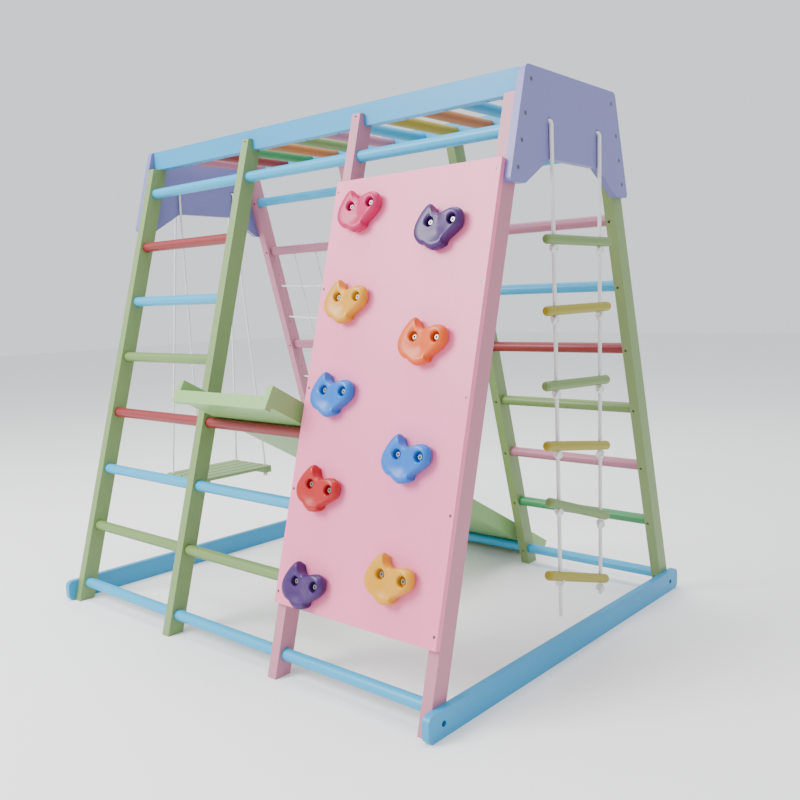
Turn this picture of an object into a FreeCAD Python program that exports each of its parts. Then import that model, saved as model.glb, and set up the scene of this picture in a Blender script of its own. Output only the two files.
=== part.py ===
import FreeCAD, Part
import math
import os

from FreeCAD import Matrix, Vector

# A wooden climbing frame for small children: two leaning ladder sides joined by a
# run of overhead bars, with a slide, a climbing board, a rope net, a swing and a
# rope ladder. +X runs along the frame, +Y away from the climbing board, +Z up.
# The origin is on the floor under the middle of the frame. Sizes are millimetres.

# ---- overall sizes -------------------------------------------------------------
FRAME_LENGTH = 1355.2        # over the outer faces of the two gable panels
FRAME_HEIGHT = 1300.0        # floor to the top of the gable panels
FLOOR_DEPTH = 1077.6         # over the outer faces of the legs at the floor
TOP_DEPTH = 380.4            # the same at the full height

# ---- legs ----------------------------------------------------------------------
LEG_THICK = 26.4             # along X
LEG_WIDTH = 43.0             # across the leg, square to its lean
MID_LEG_X = 207.0            # from the middle of the frame to a middle leg's centre
CHEEK_RISE = 28.0            # how far a middle leg's cheek stands up beside its beam

# ---- top beams and gable panels --------------------------------------------------
BEAM_HEIGHT = 52.0
BEAM_THICK = 26.0
BEAM_INSET = 6.2             # beam's outer face behind the legs' outer face at the top
BEAM_DROP = 2.0              # beam top below the gable panel's top
GABLE_THICK = 17.4
GABLE_HEIGHT = 239.0
GABLE_CORNER_R = 15.0
GABLE_TIP_R = 8.0
ARCH_TOP_HALF = 102.0        # half width of the cut-out at its top
ARCH_FOOT_HALF = 197.5       # half width of the cut-out at its foot
ARCH_HEIGHT = 58.5
ROPE_HOLE_Y = 104.0
ROPE_HOLE_DROP = 102.0       # below the gable panel's top
ROPE_HOLE_ROOM = 3.6         # wider than the thickest rope

# ---- base rails ------------------------------------------------------------------
RAIL_THICK = 17.0
RAIL_HEIGHT = 56.0
RAIL_OVERHANG = 17.0         # past the legs' outer faces at each end
RAIL_END_R = 16.0

# ---- rungs, net bars and overhead bars ---------------------------------------------
RUNG_D = 28.0
FIRST_RUNG_Z = 47.9
RUNG_LEVELS = 8
TOP_RUNG_DROP = 127.9        # below the full height
SOCKET_DEPTH = 18.0          # how far a rung enters the leg that it ends in
SOCKET_SPARE = 0.6           # room past a rung's end
FIT_GAP = 0.5                # radial room round anything that sits in a hole
OVERHEAD_END = 112.6         # from a gable's outer face to the nearest overhead bar
OVERHEAD_SOCKET = 14.0
NET_BAR_THICK = 18.0
NET_BAR_R = 6.0
NET_SOCKET = 12.0

# Each rung: its level and the two legs that it ends in, counted from the left.
NEAR_RUNGS = [(1, 1, 4), (2, 1, 3), (3, 1, 3), (4, 1, 3), (5, 1, 2), (6, 1, 2), (7, 1, 2), (8, 1, 4)]
FAR_RUNGS = [(1, 1, 4), (2, 3, 4), (3, 3, 4), (4, 3, 4), (5, 3, 4), (6, 3, 4), (7, 3, 4), (8, 1, 4)]
NET_BAR_LEVELS = [3, 5, 7]

# Overhead bars from left to right, by the colour that they are painted.
OVERHEAD_COLOURS = ["pink", "red", "green", "orange", "lime", "pink", "blue", "yellow", "orange",
                    "blue", "red"]

# ---- rope net ------------------------------------------------------------------------
NET_ROPE_D = 6.0
NET_KNOT_D = 13.0
KNOT_TURN = 45.0             # keeps a knot's seam between the ropes that cross in it
NET_COLUMNS = 4              # the net's openings across the bay
NET_ROWS = 3                 # the net's openings between two net bars
NET_ROW_DROP = 10.0          # the cross ropes hang this far below an even spacing
NET_SAG = 8.0                # and their knots this far below their ends

# ---- climbing board and holds -------------------------------------------------------
BOARD_THICK = 13.4
BOARD_FOOT_Z = 162.0
BOARD_TOP_DROP = 192.0       # below the full height
BOARD_SCREW_INSET = 8.0
BOARD_SCREW_ROWS = 5
BOARD_SCREW_END = 26.0       # first and last screw from the board's ends
HOLD_DEPTH = 29.0
HOLD_FACE = 15.0             # height of the hold's widest section above the board
HOLD_FOOT_SCALE = 0.88       # the hold's outline against the board
HOLD_FRONT_SCALE = 0.84      # the hold's outline at its front
HOLD_LEFT_TURNS = [-2, -7, 0, 0, 5]
HOLD_RIGHT_TURNS = [-4, 0, 0, 2]
HOLD_BOLT_SPACING = 58.0
HOLD_BOLT_SHIFT = 12.0       # bolts to the right of the hold's middle
HOLD_BOLT_RISE = 13.0        # bolt line above the hold's middle
HOLD_BOLT_D = 6.0
HOLD_BORE_D = 21.0
HOLD_SEAT = 15.0             # thickness left under a bolt head
HOLD_LEFT_X = 100.0          # left column, from the board's left edge
HOLD_LEFT_FOOT = 49.0        # its lowest hold, up the board from the board's foot
HOLD_LEFT_PITCH = 211.0
HOLD_RIGHT_X = 339.0
HOLD_RIGHT_FOOT = 107.0
HOLD_RIGHT_PITCH = 243.0
# A hold's outline about its middle: two lobes with a notch, narrowing to a nub.
HOLD_OUTLINE = [(-24, 55), (-12, 38), (1, 31), (17, 34), (39, 40), (56, 34), (62, 19), (59, 2),
                (43, -13), (23, -27), (19, -39), (-6, -46), (-22, -40), (-31, -34), (-46, -29),
                (-59, -14), (-61, 5), (-52, 27), (-38, 46)]

# ---- slide --------------------------------------------------------------------------
SLIDE_WIDTH = 356.0
SLIDE_WALL_THICK = 17.0
SLIDE_WALL_HEIGHT = 47.0
SLIDE_BED_THICK = 12.0
SLIDE_TOP_LEVEL = 4          # the near rung that holds the slide's top
SLIDE_TOP_OVERHANG = 140.0   # past that rung, up the slide
SLIDE_FOOT_OVERHANG = 155.0  # past the far bottom rung, down the slide
SLIDE_FLOOR_GAP = 0.6        # the foot's flat clears the floor by this
SLIDE_RUNG_GAP = 0.3
BATTEN_THICK = 17.0          # along the slide
BATTEN_HEIGHT = 31.0
BATTEN_DROP = 11.0           # below the bed's underside

# ---- swing --------------------------------------------------------------------------
SWING_LENGTH = 275.0         # along Y
SLAT_COUNT = 5
SLAT_WIDTH = 35.0
SLAT_GAP = 5.5
SLAT_EDGE_R = 2.0
SLAT_THICK = 10.0
SWING_TOP_Z = 292.0
CLEAT_WIDTH = 26.0
CLEAT_HEIGHT = 12.0
SWING_ROPE_D = 6.5
SWING_ROPE_END = 9.0         # from the seat's end to a rope
SWING_ROPE_SIDE = 22.0       # from the seat's side to a rope
SWING_HANG_X = 14.0          # from the gable's middle plane to a hanging rope
SWING_HOLE_GAP = 0.4
SWING_PIVOT_DROP = 80.0      # below the gable's rope hole
SWING_ROPE_START = 11.0      # the swinging rope starts this far below its pivot
ROPE_BEND_R = 10.0           # where a rope turns down at the gable's rope hole
ARC_SHARE = 0.45             # of a rope's shorter run, that an arc may take
SWING_KNOT_D = 15.0
SWING_BEND_RISE = 20.0       # the ropes straighten this far above the seat

# ---- rope ladder --------------------------------------------------------------------
LADDER_ROPE_D = 9.0
LADDER_ROPE_STAND = 5.4      # rope's centre line in front of the gable's outer face
LADDER_ROPE_START = 5.0
LADDER_ROPE_LEANS = {"near": -0.0155, "far": -0.007}    # sideways for each unit down
LADDER_RUNG_D = 22.0
LADDER_RUNG_LENGTH = 278.0
LADDER_HOLE_GAP = 0.5
LADDER_TAIL = 34.0           # rope below the last rung
LADDER_KNOT_D = 17.0
LADDER_PIVOT_DROP = 2.0      # the hinge line below the bend's lower end
LADDER_RUNG_ROUND = 0.32     # rounding of a ladder rung's ends, of its diameter
KNOT_GAP = 0.3               # between a knot and what rests on it
# Height of each ladder rung at the near and the far rope, and its shift along Y.
LADDER_RUNGS = [(951, 952, 6), (799, 802, 3), (637, 630, -4), (504, 474, -4), (375, 305, -3),
                (211, 147, -9)]

# ---- fasteners ------------------------------------------------------------------------
RUNG_SCREW_HEAD_D = 7.0
RUNG_SCREW_SHANK_D = 4.0
RUNG_SCREW_LENGTH = 24.0
RUNG_SCREW_SUNK = 3.0        # head below the wood's surface
PANEL_SCREW_HEAD_D = 9.0
PANEL_SCREW_HEAD = 3.0
PANEL_SCREW_LENGTH = 40.0
BOARD_SCREW_HEAD_D = 6.0
BOARD_SCREW_LENGTH = 30.0
RAIL_BOLT_HEAD_D = 12.0
RAIL_BOLT_SUNK = 5.0
RAIL_BOLT_LENGTH = 34.0
HOLE_GAP = 0.2               # radial room round a screw
HOLD_BOLT_HEAD_D = 10.0
HOLD_BOLT_HEAD = 6.0
HOLD_BOLT_KEY_D = 5.0
BOLT_END = 6.0               # a hold bolt's end behind the board
TEE_NUT_D = 21.0
TEE_NUT_THICK = 1.6
GABLE_LEG_SCREW_DROPS = [99.0, 154.0, 209.0]    # below the gable panel's top
PANEL_SCREW_SHANK_D = 4.5
PANEL_SCREW_SUNK = 0.4
PANEL_SCREW_GRIP = 16.0      # how far a panel's screw goes into a leg
BOARD_SCREW_HEAD = 2.5
BOARD_SCREW_SHANK_D = 3.0
BOARD_SCREW_SUNK = 1.0
RAIL_BOLT_HEAD = 4.0
RAIL_BOLT_SHANK_D = 6.0
CHEEK_BOLT_HEAD = 3.0
CHEEK_BOLT_LENGTH = 22.0
CHEEK_BOLT_PLACE = 0.7       # of the cheek's height
SPARE_HOLE_D = 4.0
SPARE_HOLE_DEPTH = 9.0

# ---- sizes that follow -----------------------------------------------------------------
LEAN = (FLOOR_DEPTH - TOP_DEPTH) / 2 / FRAME_HEIGHT
LEAN_COS = 1 / math.sqrt(1 + LEAN * LEAN)
LEAN_SIN = LEAN * LEAN_COS
LEG_FLAT_WIDTH = LEG_WIDTH / LEAN_COS
LEG_FACE_X = FRAME_LENGTH / 2 - GABLE_THICK
END_LEG_X = LEG_FACE_X - LEG_THICK / 2
LEG_X = [-END_LEG_X, -MID_LEG_X, MID_LEG_X, END_LEG_X]
BEAM_TOP_Z = FRAME_HEIGHT - BEAM_DROP
BEAM_FOOT_Z = BEAM_TOP_Z - BEAM_HEIGHT
BEAM_OUTER_Y = TOP_DEPTH / 2 - BEAM_INSET
BEAM_INNER_Y = BEAM_OUTER_Y - BEAM_THICK
GABLE_FOOT_Z = FRAME_HEIGHT - GABLE_HEIGHT
GABLE_MID_X = LEG_FACE_X + GABLE_THICK / 2
GABLE_OUTER_X = LEG_FACE_X + GABLE_THICK
RUNG_PITCH = (FRAME_HEIGHT - TOP_RUNG_DROP - FIRST_RUNG_Z) / (RUNG_LEVELS - 1)
OVERHEAD_PITCH = (FRAME_LENGTH - 2 * OVERHEAD_END) / (len(OVERHEAD_COLOURS) - 1)
BOARD_TOP_Z = FRAME_HEIGHT - BOARD_TOP_DROP
ROPE_HOLE_Z = FRAME_HEIGHT - ROPE_HOLE_DROP
ROPE_HOLE_D = max(LADDER_ROPE_D, SWING_ROPE_D) + ROPE_HOLE_ROOM
SWING_PIVOT_Z = ROPE_HOLE_Z - SWING_PIVOT_DROP
SIDES = {"near": -1, "far": 1}

nodes = {}
cutters = {}


# ---- small helpers ------------------------------------------------------------------------
def add(node, *shapes):
    """Put solids into a node."""
    nodes.setdefault(node, []).extend(shapes)


def cut_later(node, *shapes):
    """Note shapes to be cut from a node once it is complete."""
    cutters.setdefault(node, []).extend(shapes)


def outer_y(z):
    """Distance of a leg's outer face from the middle plane at a height."""
    return FLOOR_DEPTH / 2 - LEAN * z


def rung_z(level):
    return FIRST_RUNG_Z + RUNG_PITCH * (level - 1)


def rung_y(level):
    return outer_y(rung_z(level)) - LEG_FLAT_WIDTH / 2


def block(x0, x1, y0, y1, z0, z1):
    return Part.makeBox(x1 - x0, y1 - y0, z1 - z0, Vector(x0, y0, z0))


def rod(start, end, diameter):
    """A round bar between two points."""
    along = Vector(end) - Vector(start)
    return Part.makeCylinder(diameter / 2, along.Length, Vector(start), along)


def plate(points, x0, x1):
    """A flat plate whose outline is given in Y and Z, from x0 to x1."""
    corners = [Vector(x0, y, z) for y, z in points]
    outline = Part.makePolygon(corners + corners[:1])
    return Part.Face(outline).extrude(Vector(x1 - x0, 0, 0))


def edges_along_x(shape, places, reach=1.0):
    """The edges along X that stand at the given places in Y and Z."""
    found = []
    for edge in shape.Edges:
        a, b = edge.Vertexes[0].Point, edge.Vertexes[-1].Point
        if abs(a.y - b.y) < 1e-6 and abs(a.z - b.z) < 1e-6:
            if any(math.hypot(a.y - y, a.z - z) < reach for y, z in places):
                found.append(edge)
    return found


def on_side(shape, side):
    """Move a shape from a leg face's own frame onto the near or far side.

    In that frame x runs along the face, y up its slope and z out of it, and the
    origin is where the face meets the floor under the frame's middle.
    """
    s = SIDES[side]
    turn = Matrix(-s, 0, 0, 0,
                  0, -s * LEAN_SIN, s * LEAN_COS, s * FLOOR_DEPTH / 2,
                  0, LEAN_COS, LEAN_SIN, 0,
                  0, 0, 0, 1)
    return placed(shape, turn)


def placed(shape, matrix):
    moved = shape.copy()
    moved.Placement = FreeCAD.Placement(matrix).multiply(shape.Placement)
    return moved


def up_slope(z, out):
    """Where, up a leg's slope, a point at height z is, out from its outer face."""
    return (z - out * LEAN_SIN) / LEAN_COS


def ball(at, along, diameter):
    """A rope's knot as a ball, with its poles on the rope."""
    return Part.makeSphere(diameter / 2, Vector(*at), Vector(*along))


def screw(head_at, direction, head_d, head, shank_d, length):
    """A screw whose head's top is at head_at, driven along direction."""
    way = Vector(direction).normalize()
    start = Vector(head_at)
    body = Part.makeCylinder(head_d / 2, head, start, way)
    return body.fuse(Part.makeCylinder(shank_d / 2, length, start, way)).removeSplitter()


def screw_hole(surface_at, direction, sunk, head_d, head, shank_d, length):
    """The stepped hole that such a screw sits in, from the wood's surface."""
    way = Vector(direction).normalize()
    start = Vector(surface_at)
    wide = Part.makeCylinder(head_d / 2 + HOLE_GAP, sunk + head + HOLE_GAP, start, way)
    deep = Part.makeCylinder(shank_d / 2 + HOLE_GAP, sunk + length + HOLE_GAP, start, way)
    return wide.fuse(deep)


def rope(points, diameter, tight=None):
    """A round rope along straight runs joined by tangent arcs.

    Each arc is as large as its two runs allow, or has the radius that tight gives.
    """
    route = [Vector(*p) for p in points]
    edges, last = [], route[0]
    for before, corner, after in zip(route, route[1:], route[2:]):
        back, ahead = before - corner, after - corner
        shorter = min(back.Length, ahead.Length)
        half = (math.pi - back.getAngle(ahead)) / 2
        radius = tight or ARC_SHARE * shorter / math.tan(half)
        setback = radius * math.tan(half)
        back.normalize()
        ahead.normalize()
        start, end = corner + back * setback, corner + ahead * setback
        crown = corner + (back + ahead).normalize() * (radius / math.cos(half) - radius)
        edges.append(Part.makeLine(last, start))
        edges.append(Part.Arc(start, crown, end).toShape())
        last = end
        print(f"rope {diameter:g} mm thick: arc radius {radius:.1f}, turn {math.degrees(2 * half):.1f}")
    edges.append(Part.makeLine(last, route[-1]))
    path = Part.Wire(edges)
    ring = Part.Wire(Part.makeCircle(diameter / 2, route[0], route[1] - route[0]))
    tube = path.makePipeShell([ring], True, False)
    share = tube.Volume / (math.pi * diameter ** 2 / 4 * path.Length)
    print(f"rope {diameter:g} mm thick: length {path.Length:.1f}, "
          f"volume over section times length {share:.4f}")
    return tube


# ---- the frame ----------------------------------------------------------------------------
def make_legs():
    for side, s in SIDES.items():
        for number, x in enumerate(LEG_X, 1):
            inner = [(outer_y(0) - LEG_FLAT_WIDTH, 0), (outer_y(BEAM_FOOT_Z) - LEG_FLAT_WIDTH, BEAM_FOOT_Z)]
            outer = [(outer_y(BEAM_FOOT_Z), BEAM_FOOT_Z), (outer_y(0), 0)]
            if number in (2, 3):
                cheek_z = BEAM_FOOT_Z + CHEEK_RISE
                slot_y = BEAM_OUTER_Y + FIT_GAP
                outer = [(slot_y, BEAM_FOOT_Z), (slot_y, cheek_z), (outer_y(cheek_z), cheek_z),
                         (outer_y(0), 0)]
            outline = [(s * y, z) for y, z in inner + outer]
            add(f"{side}_leg_{number}", plate(outline, x - LEG_THICK / 2, x + LEG_THICK / 2))


def make_rungs():
    for side, s in SIDES.items():
        for level, first, last in NEAR_RUNGS if side == "near" else FAR_RUNGS:
            y, z = s * rung_y(level), rung_z(level)
            x0 = LEG_X[first - 1] + LEG_THICK / 2 - SOCKET_DEPTH
            x1 = LEG_X[last - 1] - LEG_THICK / 2 + SOCKET_DEPTH
            bar = rod((x0, y, z), (x1, y, z), RUNG_D)
            hole = rod((x0 - SOCKET_SPARE, y, z), (x1 + SOCKET_SPARE, y, z), RUNG_D + 2 * FIT_GAP)
            add(f"{side}_rung_{level}", bar)
            for number in range(first, last + 1):
                cut_later(f"{side}_leg_{number}", hole)
                rung_screw(side, number, level, f"{side}_rung_{level}")


def rung_screw(side, leg, level, bar):
    """A sunk screw through a leg's inner edge into the bar that the leg holds."""
    x = -SIDES[side] * LEG_X[leg - 1]
    if leg in (1, 4):
        x -= math.copysign(LEG_THICK / 2 - SOCKET_DEPTH / 2, x)
    y = up_slope(rung_z(level), -LEG_WIDTH / 2)
    sizes = (RUNG_SCREW_HEAD_D, 3.0, RUNG_SCREW_SHANK_D, RUNG_SCREW_LENGTH)
    fixing = screw((x, y, RUNG_SCREW_SUNK - LEG_WIDTH), (0, 0, 1), *sizes)
    room = screw_hole((x, y, -LEG_WIDTH), (0, 0, 1), RUNG_SCREW_SUNK, *sizes)
    add("frame_screws", on_side(fixing, side))
    cut_later(f"{side}_leg_{leg}", on_side(room, side))
    cut_later(bar, on_side(room, side))


def make_beams():
    for side, s in SIDES.items():
        y0, y1 = sorted((s * BEAM_OUTER_Y, s * BEAM_INNER_Y))
        add(f"{side}_top_beam", block(-LEG_FACE_X, LEG_FACE_X, y0, y1, BEAM_FOOT_Z, BEAM_TOP_Z))
        for number in (2, 3):
            make_cheek_bolt(side, number)


def make_cheek_bolt(side, leg):
    """The bolt through a middle leg's cheek into the beam that it stands beside."""
    s, x = SIDES[side], LEG_X[leg - 1]
    z = BEAM_FOOT_Z + CHEEK_RISE * CHEEK_BOLT_PLACE
    sizes = (RUNG_SCREW_HEAD_D, CHEEK_BOLT_HEAD, RUNG_SCREW_SHANK_D, CHEEK_BOLT_LENGTH)
    face = (x, s * outer_y(z), z)
    seat = (x, s * (outer_y(z) - RUNG_SCREW_SUNK), z)
    room = screw_hole(face, (0, -s, 0), RUNG_SCREW_SUNK, *sizes)
    add("frame_screws", screw(seat, (0, -s, 0), *sizes))
    cut_later(f"{side}_leg_{leg}", room)
    cut_later(f"{side}_top_beam", room)


def make_overhead_bars():
    """Round bars across the two beams, each held by a screw up through each beam."""
    reach = BEAM_INNER_Y + OVERHEAD_SOCKET
    z = (BEAM_FOOT_Z + BEAM_TOP_Z) / 2
    for i, colour in enumerate(OVERHEAD_COLOURS):
        x = (i - (len(OVERHEAD_COLOURS) - 1) / 2) * OVERHEAD_PITCH
        node = f"overhead_bars_{colour}"
        add(node, rod((x, -reach, z), (x, reach, z), RUNG_D))
        spare = reach + SOCKET_SPARE
        hole = rod((x, -spare, z), (x, spare, z), RUNG_D + 2 * FIT_GAP)
        for side, s in SIDES.items():
            cut_later(f"{side}_top_beam", hole)
            y = s * (BEAM_INNER_Y + OVERHEAD_SOCKET / 2)
            sizes = (RUNG_SCREW_HEAD_D, 2.0, RUNG_SCREW_SHANK_D, z - BEAM_FOOT_Z)
            room = screw_hole((x, y, BEAM_FOOT_Z), (0, 0, 1), RUNG_SCREW_SUNK, *sizes)
            add("frame_screws", screw((x, y, BEAM_FOOT_Z + RUNG_SCREW_SUNK), (0, 0, 1), *sizes))
            cut_later(f"{side}_top_beam", room)
            cut_later(node, room)


def make_gables():
    """The two end panels that tie the beams and the legs' tops together."""
    top, foot = outer_y(FRAME_HEIGHT), outer_y(GABLE_FOOT_Z)
    arch_z = GABLE_FOOT_Z + ARCH_HEIGHT
    half = [(top, FRAME_HEIGHT), (foot, GABLE_FOOT_Z), (ARCH_FOOT_HALF, GABLE_FOOT_Z),
            (ARCH_TOP_HALF, arch_z)]
    outline = half + [(-y, z) for y, z in reversed(half)]
    for name, s in (("left", -1), ("right", 1)):
        x0, x1 = sorted((s * LEG_FACE_X, s * GABLE_OUTER_X))
        panel = plate(outline, x0, x1)
        tops = edges_along_x(panel, [(top, FRAME_HEIGHT), (-top, FRAME_HEIGHT)])
        panel = panel.makeFillet(GABLE_CORNER_R, tops)
        tips = [(y, GABLE_FOOT_Z) for y in (foot, -foot, ARCH_FOOT_HALF, -ARCH_FOOT_HALF)]
        panel = panel.makeFillet(GABLE_TIP_R, edges_along_x(panel, tips))
        arch = edges_along_x(panel, [(ARCH_TOP_HALF, arch_z), (-ARCH_TOP_HALF, arch_z)])
        panel = panel.makeFillet(GABLE_TIP_R, arch)
        for y in (-ROPE_HOLE_Y, ROPE_HOLE_Y):
            start, end = (x0 - 1, y, ROPE_HOLE_Z), (x1 + 1, y, ROPE_HOLE_Z)
            panel = panel.cut(rod(start, end, ROPE_HOLE_D))
        add(f"{name}_gable_panel", panel)
        for side in SIDES:
            make_gable_screws(name, s, side)


def make_gable_screws(name, s, side):
    leg = 1 if s < 0 else 4
    beam_y = (BEAM_OUTER_Y + BEAM_INNER_Y) / 2
    places = [(beam_y, (BEAM_FOOT_Z + BEAM_TOP_Z) / 2, f"{side}_top_beam")]
    for z in [FRAME_HEIGHT - drop for drop in GABLE_LEG_SCREW_DROPS]:
        places.append((outer_y(z) - LEG_FLAT_WIDTH / 2, z, f"{side}_leg_{leg}"))
    for y, z, holder in places:
        y *= SIDES[side]
        shank = PANEL_SCREW_LENGTH if "beam" in holder else GABLE_THICK + PANEL_SCREW_GRIP
        sizes = (PANEL_SCREW_HEAD_D, PANEL_SCREW_HEAD, PANEL_SCREW_SHANK_D, shank)
        fixing = screw((s * (GABLE_OUTER_X - PANEL_SCREW_SUNK), y, z), (-s, 0, 0), *sizes)
        room = screw_hole((s * GABLE_OUTER_X, y, z), (-s, 0, 0), PANEL_SCREW_SUNK, *sizes)
        add("frame_screws", fixing)
        cut_later(f"{name}_gable_panel", room)
        cut_later(holder, room)


def make_base_rails():
    """Floor rails on the outsides of the end legs, bolted through each leg."""
    half = outer_y(0) + RAIL_OVERHANG
    ends = [(y, z) for y in (-half, half) for z in (0, RAIL_HEIGHT)]
    for s, leg in ((-1, 1), (1, 4)):
        x0, x1 = sorted((s * LEG_FACE_X, s * (LEG_FACE_X + RAIL_THICK)))
        rail = block(x0, x1, -half, half, 0, RAIL_HEIGHT)
        add("base_rails", rail.makeFillet(RAIL_END_R, edges_along_x(rail, ends)))
        for side, t in SIDES.items():
            z = RAIL_HEIGHT / 2
            y = t * (outer_y(z) - LEG_FLAT_WIDTH / 2)
            face = s * (LEG_FACE_X + RAIL_THICK)
            sizes = (RAIL_BOLT_HEAD_D, RAIL_BOLT_HEAD, RAIL_BOLT_SHANK_D, RAIL_BOLT_LENGTH - RAIL_BOLT_SUNK)
            add("frame_screws", screw((face - s * RAIL_BOLT_SUNK, y, z), (-s, 0, 0), *sizes))
            room = screw_hole((face, y, z), (-s, 0, 0), RAIL_BOLT_SUNK, *sizes)
            cut_later("base_rails", room)
            cut_later(f"{side}_leg_{leg}", room)


# ---- the rope net -----------------------------------------------------------------------
def make_net():
    """Flat bars across the far left bay, with a knotted net stretched between them."""
    left = LEG_X[0] + LEG_THICK / 2
    right = LEG_X[1] - LEG_THICK / 2
    out = -LEG_WIDTH / 2
    heights = [up_slope(rung_z(level), out) for level in NET_BAR_LEVELS]
    for level, y in zip(NET_BAR_LEVELS, heights):
        for gap, depth in ((0, NET_SOCKET), (FIT_GAP, NET_SOCKET + SOCKET_SPARE)):
            x0, x1 = -(right + depth), -(left - depth)
            bar = block(x0, x1, y - RUNG_D / 2 - gap, y + RUNG_D / 2 + gap,
                        out - NET_BAR_THICK / 2 - gap, out + NET_BAR_THICK / 2 + gap)
            long_edges = [e for e in bar.Edges if e.Length > RUNG_D + NET_BAR_THICK]
            bar = on_side(bar.makeFillet(NET_BAR_R + gap, long_edges), "far")
            if gap:
                cut_later("far_leg_1", bar)
                cut_later("far_leg_2", bar)
            else:
                add("net_bars", bar)
        for leg in (1, 2):
            rung_screw("far", leg, level, "net_bars")
    make_net_ropes(-right, -left, out, heights)
    for middle in (3.5, 4.5, 5.5, 6.5):
        z = rung_z(middle)
        y = outer_y(z) - LEG_FLAT_WIDTH / 2
        spare = rod((left + 1, y, z), (left - SPARE_HOLE_DEPTH, y, z), SPARE_HOLE_D)
        cut_later("far_leg_1", spare)


def make_net_ropes(x0, x1, out, heights):
    ropes, radius = [], NET_ROPE_D / 2
    columns = [x0 + (x1 - x0) * i / NET_COLUMNS for i in range(1, NET_COLUMNS)]
    for x in columns:
        upright = ((x, heights[0] - RUNG_D / 2, out), (x, heights[-1] + RUNG_D / 2, out))
        ropes.append(rod(*upright, NET_ROPE_D))
        hole = rod(upright[0], upright[1], NET_ROPE_D + 2 * FIT_GAP)
        cut_later("net_bars", on_side(hole, "far"))
    for low, high in zip(heights, heights[1:]):
        for row in range(1, NET_ROWS):
            end_y = low + (high - low) * row / NET_ROWS - NET_ROW_DROP
            y = end_y - NET_SAG
            ropes.append(rod((columns[0], y, out), (columns[-1], y, out), NET_ROPE_D))
            for knot_x, leg_x, way, leg in ((columns[0], x0, -1, "far_leg_2"),
                                            (columns[-1], x1, 1, "far_leg_1")):
                for gap in (0, FIT_GAP):
                    inside = (leg_x + way * NET_SOCKET, end_y, out)
                    thick = NET_ROPE_D + 2 * gap
                    straight = rod((leg_x, end_y, out), inside, thick)
                    if gap:
                        cut_later(leg, on_side(straight, "far"))
                        continue
                    bend = ball((leg_x, end_y, out), (0, 0, 1), thick)
                    ropes.extend([straight, bend, rod((knot_x, y, out), (leg_x, end_y, out), thick)])
            for x in columns:
                knot = ball((x, y, out), (0, 0, 1), NET_KNOT_D)
                knot.rotate(Vector(x, y, out), Vector(0, 0, 1), KNOT_TURN)
                ropes.append(knot)
    net = ropes[0].multiFuse(ropes[1:]).removeSplitter()
    add("net_ropes", on_side(net, "far"))


# ---- the climbing board -------------------------------------------------------------------
def make_climbing_board():
    left = MID_LEG_X - LEG_THICK / 2
    right = LEG_FACE_X
    foot, top = BOARD_FOOT_Z / LEAN_COS, BOARD_TOP_Z / LEAN_COS
    add("climbing_board", on_side(block(left, right, foot, top, 0, BOARD_THICK), "near"))
    rise = (top - foot - 2 * BOARD_SCREW_END) / (BOARD_SCREW_ROWS - 1)
    for x, leg in ((left + BOARD_SCREW_INSET, 3), (right - BOARD_SCREW_INSET, 4)):
        for row in range(BOARD_SCREW_ROWS):
            place = (x, foot + BOARD_SCREW_END + rise * row, BOARD_THICK)
            sizes = (BOARD_SCREW_HEAD_D, BOARD_SCREW_HEAD, BOARD_SCREW_SHANK_D, BOARD_SCREW_LENGTH)
            seat = (place[0], place[1], place[2] - BOARD_SCREW_SUNK)
            add("frame_screws", on_side(screw(seat, (0, 0, -1), *sizes), "near"))
            room = on_side(screw_hole(place, (0, 0, -1), BOARD_SCREW_SUNK, *sizes), "near")
            cut_later("climbing_board", room)
            cut_later(f"near_leg_{leg}", room)
    for i, turn in enumerate(HOLD_LEFT_TURNS):
        make_hold(left + HOLD_LEFT_X, foot + HOLD_LEFT_FOOT + HOLD_LEFT_PITCH * i, turn)
    for i, turn in enumerate(HOLD_RIGHT_TURNS):
        make_hold(left + HOLD_RIGHT_X, foot + HOLD_RIGHT_FOOT + HOLD_RIGHT_PITCH * i, turn)


def hold_section(out, scale):
    """A hold's outline at one distance from the board."""
    curve = Part.BSplineCurve()
    curve.interpolate([Vector(u * scale, v * scale, out) for u, v in HOLD_OUTLINE], PeriodicFlag=True)
    return Part.Wire(curve.toShape())


def make_hold(x, y, turn):
    """One moulded hold with two sunk bolts, turned a little at a place on the board."""
    base, front = BOARD_THICK, BOARD_THICK + HOLD_DEPTH
    seat = base + HOLD_SEAT
    hole_d = HOLD_BOLT_D + 2 * HOLE_GAP
    body = Part.makeLoft([hold_section(base, HOLD_FOOT_SCALE), hold_section(base + HOLD_FACE, 1.0),
                          hold_section(front, HOLD_FRONT_SCALE)], True, True)
    bolts, holes = [], []
    for side in (-1, 1):
        u, v = HOLD_BOLT_SHIFT + side * HOLD_BOLT_SPACING / 2, HOLD_BOLT_RISE
        body = body.cut(rod((u, v, seat), (u, v, front + 1), HOLD_BORE_D))
        body = body.cut(rod((u, v, base - 1), (u, v, seat + 1), hole_d))
        bolts.extend(hold_bolt(u, v, seat))
        holes.append(rod((u, v, -1), (u, v, base + 1), hole_d))

    def settled(shape):
        spot = FreeCAD.Placement(Vector(x, y, 0), FreeCAD.Rotation(Vector(0, 0, 1), turn))
        return on_side(placed(shape, spot.toMatrix()), "near")

    add("climbing_holds", settled(body))
    add("hold_bolts", *[settled(piece) for piece in bolts])
    cut_later("climbing_board", *[settled(piece) for piece in holes])


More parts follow.
